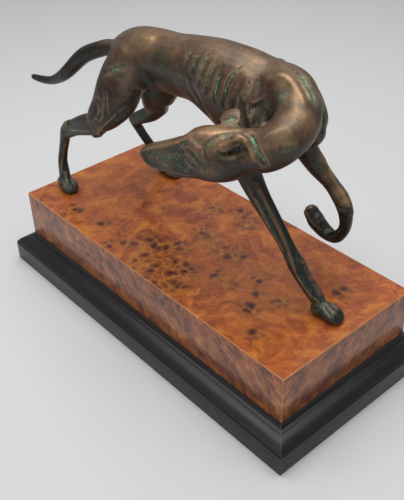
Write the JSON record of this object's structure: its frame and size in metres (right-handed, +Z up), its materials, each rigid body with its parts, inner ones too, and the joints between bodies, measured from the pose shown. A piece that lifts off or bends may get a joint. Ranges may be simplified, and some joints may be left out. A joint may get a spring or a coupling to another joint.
{
  "type": "hound sculpture",
  "caption": "Lean hunting hound in patinated cast bronze, looking back along its flank, on a burl-veneered rectangular block with a black moulded base.",
  "frame": {"origin": "centre of the moulded base's underside", "axes": "+Z up, +X along the block from the hound's rump to its chest, +Y to the hound's left"},
  "size_m": [0.3818, 0.1644, 0.2431],
  "materials": {
    "patinated_bronze": "dark brown and green patina, satin",
    "burl_veneer": "polished clear lacquer over burl veneer",
    "black_lacquer": "black satin lacquer"
  },
  "bodies": {
    "root": {"hound": "patinated_bronze", "burl_block": "burl_veneer", "moulded_base": "black_lacquer"}
  },
  "joints": []
}
